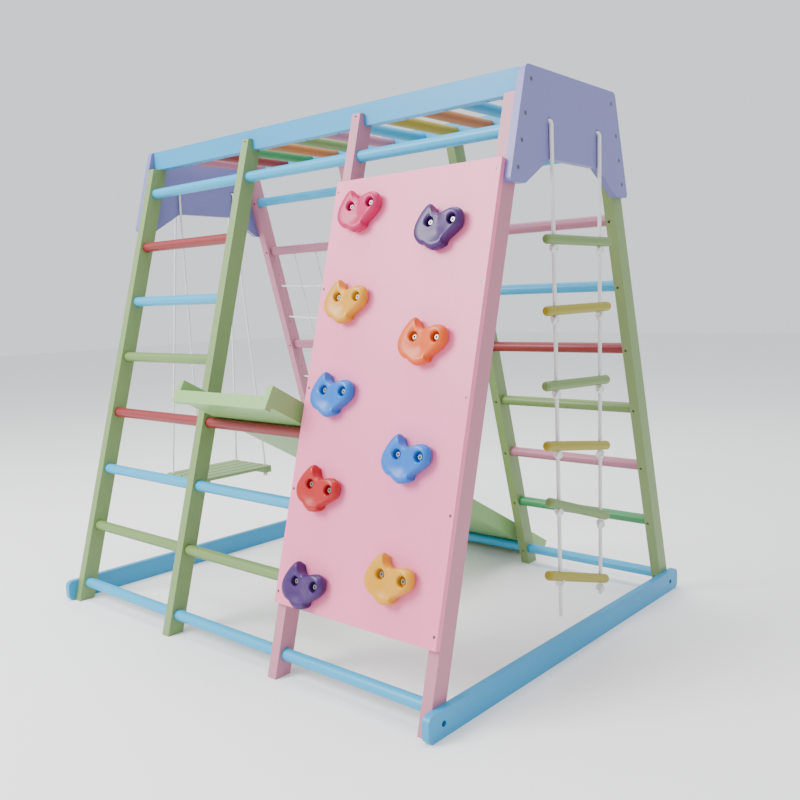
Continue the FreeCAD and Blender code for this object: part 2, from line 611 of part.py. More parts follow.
def hold_bolt(u, v, seat):
    """A socket bolt through hold and board, and the tee nut behind the board."""
    shank = rod((u, v, -BOLT_END), (u, v, seat), HOLD_BOLT_D)
    head = rod((u, v, seat), (u, v, seat + HOLD_BOLT_HEAD), HOLD_BOLT_HEAD_D)
    key = rod((u, v, seat + HOLD_BOLT_HEAD / 2), (u, v, seat + HOLD_BOLT_HEAD + 1), HOLD_BOLT_KEY_D)
    flange = rod((u, v, -TEE_NUT_THICK), (u, v, 0), TEE_NUT_D)
    nut = flange.cut(rod((u, v, -TEE_NUT_THICK - 1), (u, v, 1), HOLD_BOLT_D + 2 * HOLE_GAP))
    return [shank.fuse(head).cut(key).removeSplitter(), nut]


# ---- the slide ---------------------------------------------------------------------------
def make_slide():
    """A trough that rests on a near rung and on the far bottom rung.

    It is made flat, with its length along +X from the near rung's centre, its left
    wall on the +Y side and its depth along +Z, and then laid on the two rungs.
    """
    near_y, near_z = -rung_y(SLIDE_TOP_LEVEL), rung_z(SLIDE_TOP_LEVEL)
    far_y, far_z = rung_y(1), rung_z(1)
    span = math.hypot(far_y - near_y, far_z - near_z)
    run, drop = (far_y - near_y) / span, (near_z - far_z) / span
    under = RUNG_D / 2 + SLIDE_RUNG_GAP
    start, end = -SLIDE_TOP_OVERHANG, span + SLIDE_FOOT_OVERHANG
    half = SLIDE_WIDTH / 2
    inside = half - SLIDE_WALL_THICK
    top = under + SLIDE_WALL_HEIGHT
    lay = Matrix(0, -1, 0, 0,
                 run, 0, drop, near_y,
                 -drop, 0, run, near_z,
                 0, 0, 0, 1)
    floor = block(-half - 1, half + 1, far_y - 200, far_y + 400, -300, SLIDE_FLOOR_GAP)
    low = under - BATTEN_DROP
    batten = block(start, start + BATTEN_THICK, -inside, inside, low, low + BATTEN_HEIGHT)

    def wall(x0, x1):
        lug = block(start, start + BATTEN_THICK, x0, x1, low, under)
        return block(start, end, x0, x1, under, top).fuse(lug).removeSplitter()

    parts = {
        "slide_left_wall": wall(inside, half),
        "slide_right_wall": wall(-half, -inside),
        "slide_bed": block(start + BATTEN_THICK, end, -inside, inside, under, under + SLIDE_BED_THICK),
        "slide_top_batten": batten,
    }
    for name, shape in parts.items():
        add(name, placed(shape, lay).cut(floor))


# ---- the swing ---------------------------------------------------------------------------
def make_swing():
    """A slatted seat on two ropes, each passing through the left gable panel."""
    middle = -GABLE_MID_X
    pitch = SLAT_WIDTH + SLAT_GAP
    half = SWING_LENGTH / 2
    first = middle - pitch * (SLAT_COUNT - 1) / 2 - SLAT_WIDTH / 2
    last = first + pitch * (SLAT_COUNT - 1) + SLAT_WIDTH
    slat_z = SWING_TOP_Z - SLAT_THICK
    cleat_z = slat_z - CLEAT_HEIGHT
    rope_x = (last - first) / 2 - SWING_ROPE_SIDE
    rope_y = half - SWING_ROPE_END
    for i in range(SLAT_COUNT):
        x = first + pitch * i
        slat = block(x, x + SLAT_WIDTH, -half, half, slat_z, SWING_TOP_Z)
        long_edges = [edge for edge in slat.Edges if edge.Length > SWING_LENGTH - 1]
        add("swing_slats", slat.makeFillet(SLAT_EDGE_R, long_edges))
    for s in (-1, 1):
        y0, y1 = sorted((s * (half - CLEAT_WIDTH), s * half))
        add("swing_cleats", block(first, last, y0, y1, cleat_z, slat_z))
    knot_z = cleat_z - SWING_KNOT_D / 2 - KNOT_GAP
    for side, s in SIDES.items():
        for t in (-1, 1):
            low_x, high_x = middle + t * rope_x, middle + t * SWING_HANG_X
            start = (high_x, s * ROPE_HOLE_Y, SWING_PIVOT_Z - SWING_ROPE_START)
            bend = (low_x, s * rope_y, SWING_TOP_Z + SWING_BEND_RISE)
            foot = (low_x, s * rope_y, knot_z)
            knot = ball(foot, (0, 0, 1), SWING_KNOT_D)
            add(f"{side}_swing_rope", rope([start, bend, foot], SWING_ROPE_D).fuse(knot))
            hole = rod((low_x, s * rope_y, cleat_z - 1), (low_x, s * rope_y, SWING_TOP_Z + 1),
                       SWING_ROPE_D + 2 * SWING_HOLE_GAP)
            cut_later("swing_slats", hole)
            cut_later("swing_cleats", hole)
        high, low = ROPE_HOLE_Z, SWING_PIVOT_Z
        corners = [(-SWING_HANG_X, low), (-SWING_HANG_X, high), (SWING_HANG_X, high), (SWING_HANG_X, low)]
        over = [(middle + x, s * ROPE_HOLE_Y, z) for x, z in corners]
        add(f"{side}_swing_rope_top", rope(over, SWING_ROPE_D, tight=ROPE_BEND_R))


# ---- the rope ladder -----------------------------------------------------------------------
def make_ladder():
    """Six wooden rungs on two ropes that come out of the right gable panel."""
    x = GABLE_OUTER_X + LADDER_ROPE_STAND
    pivot_z = ROPE_HOLE_Z - ROPE_BEND_R - LADDER_PIVOT_DROP

    def rope_at(side, z):
        return x, SIDES[side] * ROPE_HOLE_Y + LADDER_ROPE_LEANS[side] * (pivot_z - z), z

    ropes = {}
    for side, s in SIDES.items():
        low = min(LADDER_RUNGS[-1][:2]) - LADDER_TAIL
        ropes[side] = [rod(rope_at(side, pivot_z - LADDER_ROPE_START), rope_at(side, low), LADDER_ROPE_D)]
        y = s * ROPE_HOLE_Y
        knot_at = (LEG_FACE_X - LADDER_KNOT_D / 2 - KNOT_GAP, y, ROPE_HOLE_Z)
        top = rope([knot_at, (x, y, ROPE_HOLE_Z), (x, y, pivot_z)], LADDER_ROPE_D, tight=ROPE_BEND_R)
        add(f"{side}_ladder_rope_top", top.fuse(ball(knot_at, (1, 0, 0), LADDER_KNOT_D)))
    for i, (near_z, far_z, shift) in enumerate(LADDER_RUNGS):
        near, far = Vector(*rope_at("near", near_z)), Vector(*rope_at("far", far_z))
        tilt = (far - near).normalize()
        middle = Vector(x, 0, (near_z + far_z) / 2) + tilt * shift
        half = tilt * (LADDER_RUNG_LENGTH / 2)
        bar = rod(middle - half, middle + half, LADDER_RUNG_D)
        rims = [edge for edge in bar.Edges if isinstance(edge.Curve, Part.Circle)]
        bar = bar.makeFillet(LADDER_RUNG_D * LADDER_RUNG_ROUND, rims)
        colour = "green" if i % 2 == 0 else "yellow"
        add(f"ladder_rungs_{colour}", bar)
        for side, z in (("near", near_z), ("far", far_z)):
            hole = rod(rope_at(side, z - LADDER_RUNG_D), rope_at(side, z + LADDER_RUNG_D),
                       LADDER_ROPE_D + 2 * LADDER_HOLE_GAP)
            cut_later(f"ladder_rungs_{colour}", hole)
            knot_z = z - LADDER_RUNG_D / 2 / tilt.y - LADDER_KNOT_D / 2 - KNOT_GAP
            way = (0, -LADDER_ROPE_LEANS[side], 1)
            ropes[side].append(ball(rope_at(side, knot_z), way, LADDER_KNOT_D))
    for side, pieces in ropes.items():
        add(f"{side}_ladder_rope", pieces[0].multiFuse(pieces[1:]))


# ---- writing -------------------------------------------------------------------------------
def finished(name):
    """A node's solids with every hole cut from them."""
    shape = Part.makeCompound(nodes[name])
    tools = cutters.get(name, [])
    if tools:
        shape = shape.cut(tools[0].multiFuse(tools[1:]) if len(tools) > 1 else tools[0])
    solids = shape.Solids
    return solids[0] if len(solids) == 1 else Part.makeCompound(solids)


def write_parts():
    """Move everything so that the origin is under the middle, and write it."""
    shapes = {name: finished(name) for name in nodes}
    box = FreeCAD.BoundBox()
    for name, shape in shapes.items():
        if "_rope" not in name:
            box.add(shape.optimalBoundingBox(False))
    home = Vector(-(box.XMin + box.XMax) / 2, -(box.YMin + box.YMax) / 2, 0)
    print(f"frame's middle is moved by {home.x:.3f}, {home.y:.3f}")
    os.makedirs("parts", exist_ok=True)
    for name, shape in shapes.items():
        shape.translate(home)
        shape.exportStep(f"parts/{name}.step")


make_legs()
make_rungs()
make_beams()
make_overhead_bars()
make_gables()
make_base_rails()
make_net()
make_climbing_board()
make_slide()
make_swing()
make_ladder()
write_parts()
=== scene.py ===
import math

import bpy
from bpy.props import FloatProperty, FloatVectorProperty, IntProperty, PointerProperty
from mathutils import Matrix, Vector


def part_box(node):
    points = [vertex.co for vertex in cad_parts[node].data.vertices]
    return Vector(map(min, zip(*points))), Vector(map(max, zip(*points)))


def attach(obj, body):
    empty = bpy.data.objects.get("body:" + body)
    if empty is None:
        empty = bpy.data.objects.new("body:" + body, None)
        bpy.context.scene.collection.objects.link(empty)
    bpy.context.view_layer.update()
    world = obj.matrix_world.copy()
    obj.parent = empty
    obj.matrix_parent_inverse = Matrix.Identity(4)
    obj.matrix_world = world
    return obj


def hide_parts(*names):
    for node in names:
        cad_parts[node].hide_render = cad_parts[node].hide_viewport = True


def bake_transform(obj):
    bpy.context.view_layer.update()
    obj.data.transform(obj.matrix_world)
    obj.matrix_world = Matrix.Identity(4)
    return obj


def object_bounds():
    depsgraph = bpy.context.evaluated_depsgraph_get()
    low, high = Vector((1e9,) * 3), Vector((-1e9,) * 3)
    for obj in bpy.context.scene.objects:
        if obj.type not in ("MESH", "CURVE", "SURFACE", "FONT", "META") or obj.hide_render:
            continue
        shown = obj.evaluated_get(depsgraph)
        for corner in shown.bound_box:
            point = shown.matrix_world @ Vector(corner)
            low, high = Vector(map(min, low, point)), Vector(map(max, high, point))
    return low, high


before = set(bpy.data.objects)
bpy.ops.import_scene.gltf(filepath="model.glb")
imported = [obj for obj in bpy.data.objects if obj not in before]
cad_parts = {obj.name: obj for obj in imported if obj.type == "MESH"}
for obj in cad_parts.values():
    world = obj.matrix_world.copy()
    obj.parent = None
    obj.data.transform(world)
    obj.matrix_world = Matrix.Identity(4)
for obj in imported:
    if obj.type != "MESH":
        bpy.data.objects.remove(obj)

bl_info = {
    "name": "Climbing Frame for Children",
    "version": (1, 0, 0),
    "blender": (4, 5, 0),
    "location": "3D View > Sidebar > Climbing Frame",
    "description": "Paint, ropes, knots and climbing holds for a wooden climbing frame with a slide",
    "category": "Object",
}

CAD_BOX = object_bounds()

# ---- sizes that the pieces follow, in metres -----------------------------------------
HOME = Vector((0.0367, -0.056637, 0.0))   # where the middle between the two sides stands
FLOOR_DEPTH = 1.0776                      # over the outer faces of the legs at the floor
TOP_DEPTH = 0.3804                        # the same at the full height
FRAME_HEIGHT = 1.300
LEAN = math.atan2((FLOOR_DEPTH - TOP_DEPTH) / 2, FRAME_HEIGHT)
LEG_WIDTH = 0.043
RUNG_D = 0.028
FIRST_RUNG_Z = 0.0479
RUNG_PITCH = 0.1606
BOARD_THICK = 0.0134

SIDES = {"near": -1, "far": 1}

# ---- climbing holds --------------------------------------------------------------------
# A hold's outline about its middle: two lobes with a notch, narrowing to a nub.
HOLD_OUTLINE = [(-24, 55), (-12, 38), (1, 31), (17, 34), (39, 40), (56, 34), (62, 19), (59, 2),
                (43, -13), (23, -27), (19, -39), (-6, -46), (-22, -40), (-31, -34), (-46, -29),
                (-59, -14), (-61, 5), (-52, 27), (-38, 46)]
# Share of the outline and height above the board, from the board to the crown.
HOLD_PROFILE = [(0.875, 0.0), (0.93, 0.004), (0.972, 0.0085), (0.995, 0.0125), (1.0, 0.0155),
                (0.99, 0.0192), (0.965, 0.0225), (0.925, 0.0255), (0.87, 0.0278), (0.80, 0.0288),
                (0.66, 0.0288), (0.45, 0.0280), (0.2, 0.0272)]
HOLD_DEPTH = 0.029
HOLD_WAIST = 0.0155            # height of the widest section
HOLD_BORE_D = 0.021
HOLD_SEAT = 0.015
HOLD_BOLT_SPACING = 0.058
HOLD_BOLT_SHIFT = 0.012
HOLD_BOLT_RISE = 0.013
# Radius and height of a bolt hole's mouth, from where its straight bore ends.
HOLD_MOUTH = [(0.0108, 0.0245), (0.0114, 0.0262), (0.0124, 0.0276), (0.0140, 0.0289),
              (0.0175, 0.0305)]
HOLD_BORE_TOP = 0.0225
HOLD_OUTLINE_POINTS = 114
HOLD_BORE_POINTS = 40
HOLD_EDGE_ANGLE = math.radians(42)
# Across and up the board from its lower left corner, the turn in degrees and the colour.
HOLD_PLACES = [
    (0.100, 0.049, -2, "purple"), (0.100, 0.260, -7, "red"), (0.100, 0.471, 0, "blue"),
    (0.100, 0.682, 0, "yellow"), (0.100, 0.893, 5, "pink"),
    (0.339, 0.107, -4, "yellow"), (0.339, 0.350, 0, "blue"), (0.339, 0.593, 0, "orange"),
    (0.339, 0.836, 2, "purple"),
]

# ---- ropes -------------------------------------------------------------------------------
SWING_ROPE_D = 0.0065
SWING_KNOT = 0.017
SWING_HANG = 0.014            # each hanging run, to either side of the gable's middle
SWING_ROPE_SIDE = 0.022       # from the seat's side to a rope
SWING_ROPE_END = 0.009        # from the seat's end to a rope
SWING_MOVES_Z = 1.107
SWING_FREE_Z = (0.296, 0.312)  # where a rope runs straight up above the seat
SWING_TURN_Z = 0.332           # where it starts to lean
SWING_GATHER_Z = 1.075         # where its two runs come together under the gable
SWING_CHEEK_Z = 1.174          # where it goes over the edge of the panel
LADDER_ROPE_D = 0.009
LADDER_KNOT = 0.0225
LADDER_STRAND = 0.0072        # rope as it is squeezed in a knot
LADDER_STAND = 0.0054         # rope's centre line in front of the gable's outer face
LADDER_LEANS = {"near": -0.0155, "far": -0.007}
LADDER_PIVOT_Z = 1.186
LADDER_FOOT_Z = 0.113
LADDER_TURN_Z = 1.174
LADDER_RUN_Z = (1.12, 0.9, 0.6, 0.3, LADDER_FOOT_Z)
LADDER_RUNG_D = 0.022
# Height of each ladder rung at its near and its far rope.
LADDER_RUNGS = [(0.951, 0.952), (0.799, 0.802), (0.637, 0.630), (0.504, 0.474), (0.375, 0.305),
                (0.211, 0.147)]
ROPE_HOLE_Y = 0.104
ROPE_HOLE_Z = 1.198
NET_ROPE_D = 0.006
NET_KNOT = 0.0135
NET_BAR_LEVELS = [3, 5, 7]
NET_COLUMNS = 4
NET_ROWS = 3
NET_ROW_DROP = 0.010
NET_SAG = 0.008
NET_SOCKET = 0.012

# ---- camera ----------------------------------------------------------------------------
CAMERA_AT = Vector((1.69678, -1.77408, 0.83174))
CAMERA_YAW = math.radians(40.89)
CAMERA_PITCH = math.radians(-6.48)
CAMERA_ROLL = math.radians(-1.79)
CAMERA_LENS = 38.69
CAMERA_SHIFT = (-0.0109, -0.003)

# ---- lights and floor: a place from the frame's middle, a width and a share of the power --------
SKY = (0.93, 0.96, 1.0, 1.0)
WINDOW = (Vector((-1.6, -3.6, 2.6)), 2.6, 1.0)
CEILING = (Vector((0.0, 0.3, 3.4)), 3.0, 0.45)
FLOOR_REACH = 15.0


def linear(code):
    """A paint's hex colour as the linear red, green and blue that Blender mixes."""
    parts = [int(code[i:i + 2], 16) / 255 for i in (0, 2, 4)]
    return tuple(c / 12.92 if c <= 0.04045 else ((c + 0.055) / 1.055) ** 2.4 for c in parts)


def colour_property(name, description, code):
    return FloatVectorProperty(name=name, description=description, default=linear(code), size=3,
                               min=0.0, max=1.0, subtype="COLOR")


# ---- building node trees ----------------------------------------------------------------
class Value:
    """A socket that takes Python's operators, each of which adds a Math node."""

    def __init__(self, nodes, socket):
        self.nodes, self.socket = nodes, socket

    def math(self, operation, *values):
        node = self.nodes.add("ShaderNodeMath", {"operation": operation}, dict(enumerate(values)))
        return Value(self.nodes, node.outputs[0])

    def __add__(self, other):
        return self.math("ADD", self, other)

    def __sub__(self, other):
        return self.math("SUBTRACT", self, other)

    def __rsub__(self, other):
        return self.math("SUBTRACT", other, self)

    def __mul__(self, other):
        return self.math("MULTIPLY", self, other)

    def __truediv__(self, other):
        return self.math("DIVIDE", self, other)

    __radd__ = __add__
    __rmul__ = __mul__

    def sine(self):
        return self.math("SINE", self)

    def cosine(self):
        return self.math("COSINE", self)

    def held(self):
        """The value kept between 0 and 1."""
        return self.math("MINIMUM", self.math("MAXIMUM", self, 0.0), 1.0)


class Nodes:
    """Adds nodes to one tree and feeds their sockets."""

    def __init__(self, tree):
        self.tree = tree

    def add(self, kind, settings=None, sockets=None):
        node = self.tree.nodes.new(kind)
        for name, value in (settings or {}).items():
            setattr(node, name, value)
        for name, value in (sockets or {}).items():
            self.feed(node.inputs[name], value)
        return node

    def feed(self, socket, value):
        if isinstance(value, Value):
            value = value.socket
        if isinstance(value, bpy.types.NodeSocket):
            self.tree.links.new(value, socket)
        else:
            socket.default_value = value

    def noise(self, place, scale, detail=2.0, roughness=0.5):
        node = self.add("ShaderNodeTexNoise", sockets={
            "Vector": place, "Scale": scale, "Detail": detail, "Roughness": roughness})
        return Value(self, node.outputs[0])

    def stretched(self, place, amounts):
        node = self.add("ShaderNodeVectorMath", {"operation": "MULTIPLY"}, {0: place, 1: amounts})
        return node.outputs[0]

    def mixed(self, factor, first, second):
        """One colour going over into another."""
        node = self.add("ShaderNodeMix", {"data_type": "RGBA"}, {0: factor, 6: first, 7: second})
        return node.outputs[2]

    def bump(self, height, strength, distance):
        node = self.add("ShaderNodeBump", sockets={
            "Height": height, "Strength": strength, "Distance": distance})
        return node.outputs[0]


# Sockets whose names don't follow from the words in lower case.
SOCKET_NAMES = {"specular_ior_level": "Specular IOR Level"}


class Finish(Nodes):
    """A material with one Principled shader."""

    def __init__(self, name):
        self.material = bpy.data.materials.new(name)
        self.material.use_nodes = True
        super().__init__(self.material.node_tree)
        self.tree.nodes.clear()
        self.shader = self.add("ShaderNodeBsdfPrincipled")
        self.add("ShaderNodeOutputMaterial", sockets={"Surface": self.shader.outputs[0]})

    def place(self):
        return self.add("ShaderNodeTexCoord").outputs["Object"]

    def set(self, **values):
        for name, value in values.items():
            label = SOCKET_NAMES.get(name, name.replace("_", " ").title())
            self.feed(self.shader.inputs[label], value)
        return self.material


def shade(colour, amount):
    """The colour with its brightness changed, as red, green, blue and alpha."""
    return tuple(min(1.0, c * amount) for c in colour[:3]) + (1.0,)


def painted_wood(name, colour, along, gloss=0.40):
    """Satin paint over wood: the grain runs along the piece and just shows in the paint."""
    finish = Finish(name)
    turn = Vector(along).normalized().rotation_difference(Vector((1, 0, 0))).to_euler()
    turned = finish.add("ShaderNodeMapping", sockets={"Vector": finish.place(), "Rotation": turn})
    turned = turned.outputs[0]
    drift = finish.noise(finish.stretched(turned, (2.0, 9.0, 9.0)), 1.0)
    grain = finish.noise(finish.stretched(turned, (5.0, 210.0, 210.0)), 1.0, 4.0, 0.6)
    pores = finish.noise(finish.stretched(turned, (60.0, 1500.0, 1500.0)), 1.0, 2.0)
    orange_peel = finish.noise(turned, 420.0, 1.0)
    tone = (grain * 0.55 + drift * 0.45).held()
    base = finish.mixed(tone, shade(colour, 0.92), shade(colour, 1.06))
    height = grain * 0.55 + pores * 0.25 + orange_peel * 0.2
    return finish.set(
        base_color=base,
        roughness=gloss + drift * 0.08 + pores * 0.05,
        coat_weight=0.12,
        coat_roughness=0.22,
        normal=finish.bump(height, 0.22, 0.0006),
    )


def moulded_plastic(name, colour):
    """Hard glossy plastic with the fine skin that a mould leaves."""
    finish = Finish(name)
    here = finish.place()
    cloud = finish.noise(here, 55.0, 3.0)
    skin = finish.noise(here, 900.0, 2.0)
    base = finish.mixed(cloud, shade(colour, 0.94), shade(colour, 1.05))
    return finish.set(
        base_color=base,
        roughness=0.34 + cloud * 0.10,
        coat_weight=0.12,
        coat_roughness=0.2,
        specular_ior_level=0.38,
        normal=finish.bump(skin * 0.4 + cloud * 0.6, 0.10, 0.0008),
    )


def plated_steel(name, colour):
    """Plated steel, faintly clouded."""
    finish = Finish(name)
    here = finish.place()
    cloud = finish.noise(here, 350.0, 3.0)
    scratches = finish.noise(finish.stretched(here, (400.0, 4000.0, 900.0)), 1.0, 2.0)
    base = finish.mixed(cloud, shade(colour, 0.85), shade(colour, 1.1))
    return finish.set(
        base_color=base,
        metallic=1.0,
        roughness=0.24 + cloud * 0.12 + scratches * 0.06,
        normal=finish.bump(scratches, 0.06, 0.0003),
    )


def cotton_rope(name, colour):
    """White cotton: yarns that run round each strand, with a dull fuzz. The colour is darker in the grooves
    between the yarns, which is painted shade, and it varies at random with the fuzz and the dirt.
    """
    finish = Finish(name)
    here = finish.place()
    lay = finish.add("ShaderNodeUVMap", {"uv_map": "lay"}).outputs[0]
    run = finish.add("ShaderNodeSeparateXYZ", sockets={0: lay})
    along, around = Value(finish, run.outputs[0]), Value(finish, run.outputs[1])
    # The yarn pattern drives both the bump and a painted shade that darkens the grooves between the yarns.
    yarn_and_groove_shade = ((along * 9.0 + around * 15.0) * math.tau).sine() * 0.5 + 0.5
    fuzz = finish.noise(here, 2600.0, 3.0, 0.7)
    dirt = finish.noise(here, 30.0, 2.0)
    # Tone: painted shade in the yarn grooves, plus random fuzz and dirt.
    tone = (yarn_and_groove_shade * 0.4 + fuzz * 0.35 + dirt * 0.25).held()
    base = finish.mixed(tone, shade(colour, 0.86), shade(colour, 1.04))
    return finish.set(
        base_color=base,
        roughness=0.78 + fuzz * 0.18,
        sheen_weight=0.25,
        normal=finish.bump(yarn_and_groove_shade * 0.6 + fuzz * 0.4, 0.5, 0.0004),
    )


# ---- geometry shared by the operators -------------------------------------------------------
def side_point(side, across, up, out):
    """A place on a leaning side: across its face, up its slope and out of it."""
    s = SIDES[side]
    return HOME + Vector((
        -s * across,
        s * (FLOOR_DEPTH / 2 - up * math.sin(LEAN) + out * math.cos(LEAN)),
        up * math.cos(LEAN) + out * math.sin(LEAN),
    ))


def new_mesh(name, points, faces, finish, smooth=True):
    mesh = bpy.data.meshes.new(name)
    mesh.from_pydata(points, [], faces)
    mesh.validate()
    mesh.materials.append(finish)
    if smooth:
        mesh.shade_smooth()
    piece = bpy.data.objects.new(name, mesh)
    bpy.context.scene.collection.objects.link(piece)
    return piece


def evaluated_mesh(piece):
    """A plain mesh of what the object's modifiers or curve make."""
    bpy.context.view_layer.update()
    graph = bpy.context.evaluated_depsgraph_get()
    return bpy.data.meshes.new_from_object(piece.evaluated_get(graph), depsgraph=graph)


def remove(piece):
    bpy.data.objects.remove(piece, do_unlink=True)


def rope_line(points):
    """The centre line of a rope as one smooth curve through its given run."""
    curve = bpy.data.curves.new("rope_run", "CURVE")
    curve.dimensions = "3D"
    curve.resolution_u = 16
    spline = curve.splines.new("NURBS")
    spline.points.add(len(points) - 1)
    for point, place in zip(spline.points, points):
        point.co = (*place, 1.0)
    spline.order_u = 3
    spline.use_endpoint_u = True
    guide = bpy.data.objects.new("rope_run", curve)
    bpy.context.scene.collection.objects.link(guide)
    mesh = evaluated_mesh(guide)
    line = [vertex.co.copy() for vertex in mesh.vertices]
    remove(guide)
    bpy.data.meshes.remove(mesh)
    return line


def line_length(line):
    return sum((b - a).length for a, b in zip(line, line[1:]))


def evenly(line, step):
    """The line again, with its points the same distance apart."""
    total = line_length(line)
    count = max(2, round(total / step))
    out, passed, i = [line[0]], 0.0, 0
    for k in range(1, count):
        goal = total * k / count
        while passed + (line[i + 1] - line[i]).length < goal:
            passed += (line[i + 1] - line[i]).length
            i += 1
        run = line[i + 1] - line[i]
        out.append(line[i] + run * ((goal - passed) / run.length))
    return out + [line[-1]]


def rope_piece(name, lines, diameter, finish, settings):
    """Laid rope along each line: strands that wind round one another."""
    strands = settings.strands
    pitch = diameter * settings.lay
    per_strand = 6
    round_count = strands * per_strand
    points, faces, lay = [], [], []
    for line in lines:
        line = evenly(line, pitch / 12)
        ahead = (line[1] - line[0]).normalized()
        side = ahead.orthogonal().normalized()
        first, passed = len(points), 0.0
        for i, centre in enumerate(line):
            before, after = line[max(i - 1, 0)], line[min(i + 1, len(line) - 1)]
            now = (after - before).normalized()
            side.rotate(ahead.rotation_difference(now))
            side = (side - now * side.dot(now)).normalized()
            ahead = now
            other = ahead.cross(side)
            if i:
                passed += (centre - line[i - 1]).length
            twist = math.tau * passed / pitch
            for j in range(round_count):
                angle = math.tau * j / round_count
                crown = abs(math.cos(strands * angle / 2)) ** 0.7
                reach = diameter / 2 * (1.03 - settings.groove * (1 - crown))
                turn = angle + twist
                points.append(centre + (side * math.cos(turn) + other * math.sin(turn)) * reach)
                lay.append((passed / pitch, j / round_count))
        rings = len(line)
        for i in range(rings - 1):
            for j in range(round_count):
                k = (j + 1) % round_count
                a, b = first + i * round_count, first + (i + 1) * round_count
                faces.append((a + j, a + k, b + k, b + j))
        for ring, place, flip in ((0, line[0], True), (rings - 1, line[-1], False)):
            hub = len(points)
            points.append(place)
            lay.append((0.0, 0.0))
            start = first + ring * round_count
            for j in range(round_count):
                edge = (start + j, start + (j + 1) % round_count)
                faces.append((edge[1], edge[0], hub) if flip else (*edge, hub))
    piece = new_mesh(name, points, faces, finish)
    uv = piece.data.uv_layers.new(name="lay")
    for loop in piece.data.loops:
        uv.data[loop.index].uv = lay[loop.vertex_index]
    return piece


def knot_tree():
    """A geometry tree that ties one overhand knot at each point it is given."""
    tree = bpy.data.node_groups.new("tied_knots", "GeometryNodeTree")
    tree.interface.new_socket("Places", in_out="INPUT", socket_type="NodeSocketGeometry")
    for name in ("Knot size", "Strand thickness", "Lean"):
        tree.interface.new_socket(name, in_out="INPUT", socket_type="NodeSocketFloat")
    tree.interface.new_socket("Seed", in_out="INPUT", socket_type="NodeSocketInt")
    tree.interface.new_socket("Finish", in_out="INPUT", socket_type="NodeSocketMaterial")
    tree.interface.new_socket("Knots", in_out="OUTPUT", socket_type="NodeSocketGeometry")
    nodes = Nodes(tree)
    given = nodes.add("NodeGroupInput")
    size = Value(nodes, given.outputs["Knot size"])
    thick = Value(nodes, given.outputs["Strand thickness"])
    reach = (size - thick) * 0.5
    circle = nodes.add("GeometryNodeCurvePrimitiveCircle", {"mode": "RADIUS"}, {"Resolution": 54})
    turn = Value(nodes, nodes.add("GeometryNodeSplineParameter").outputs["Factor"]) * math.tau
    x = (turn.sine() + (turn * 2.0).sine() * 2.0) * reach / 3.0
    y = (turn.cosine() - (turn * 2.0).cosine() * 2.0) * reach / 3.0
    z = (turn * 3.0).sine() * thick * -0.8
    place = nodes.add("ShaderNodeCombineXYZ", sockets={0: x, 1: y, 2: z})
    bent = nodes.add("GeometryNodeSetPosition", sockets={
        "Geometry": circle.outputs[0], "Position": place.outputs[0]})
    section = nodes.add("GeometryNodeCurvePrimitiveCircle", {"mode": "RADIUS"}, {
        "Resolution": 10, "Radius": thick * 0.5})
    strand = nodes.add("GeometryNodeCurveToMesh", sockets={
        "Curve": bent.outputs[0], "Profile Curve": section.outputs[0]})
    smooth = nodes.add("GeometryNodeSetShadeSmooth", sockets={0: strand.outputs[0]})
    spin = nodes.add("FunctionNodeRandomValue", {"data_type": "FLOAT"}, {
        2: 0.0, 3: math.tau, "Seed": given.outputs["Seed"]})
    euler = nodes.add("ShaderNodeCombineXYZ", sockets={
        0: given.outputs["Lean"], 2: spin.outputs[1]})
    turned = nodes.add("FunctionNodeEulerToRotation", sockets={0: euler.outputs[0]})
    tied = nodes.add("GeometryNodeInstanceOnPoints", sockets={
        "Points": given.outputs["Places"], "Instance": smooth.outputs[0],
        "Rotation": turned.outputs[0]})
    real = nodes.add("GeometryNodeRealizeInstances", sockets={0: tied.outputs[0]})
    painted = nodes.add("GeometryNodeSetMaterial", sockets={
        "Geometry": real.outputs[0], "Material": given.outputs["Finish"]})
    nodes.add("NodeGroupOutput", sockets={0: painted.outputs[0]})
    return tree


def knot_piece(name, places, size, thick, finish, lean=0.0, seed=1):
    """Knots tied at these places, as one plain mesh."""
    tree = bpy.data.node_groups.get("tied_knots") or knot_tree()
    guide = new_mesh("knot_places", places, [], finish, smooth=False)
    modifier = guide.modifiers.new("Knots", "NODES")
    modifier.node_group = tree
    values = {"Knot size": size, "Strand thickness": thick, "Lean": lean, "Seed": seed,
              "Finish": finish}
    for item in tree.interface.items_tree:
        if item.name in values:
            modifier[item.identifier] = values[item.name]
    mesh = evaluated_mesh(guide)
    remove(guide)
    mesh.name = name
    piece = bpy.data.objects.new(name, mesh)
    bpy.context.scene.collection.objects.link(piece)
    if not mesh.polygons:
        raise RuntimeError(f"{name} came out empty")
    return piece


def closed_curve(points, count):
    """Points on a smooth closed curve through the given ones."""
    out, n = [], len(points)
    per = max(2, round(count / n))
    for i in range(n):
        a, b, c, d = (Vector(points[(i + k - 1) % n]) for k in range(4))
        for step in range(per):
            t = step / per
            out.append(((2 * b) + (c - a) * t + (2 * a - 5 * b + 4 * c - d) * t * t
                        + (3 * b - a - 3 * c + d) * t ** 3) / 2)
    return out


def hold_hollow(u, v):
    """How far the crown sinks: a dip under the notch and a shallow scoop for the fingers."""
    dip = 0.0030 * math.exp(-(((u - 0.002) / 0.012) ** 2 + ((v - 0.020) / 0.016) ** 2))
    scoop = 0.0050 * math.exp(-(((u - 0.002) / 0.024) ** 2 + ((v + 0.014) / 0.016) ** 2))
    return dip + scoop


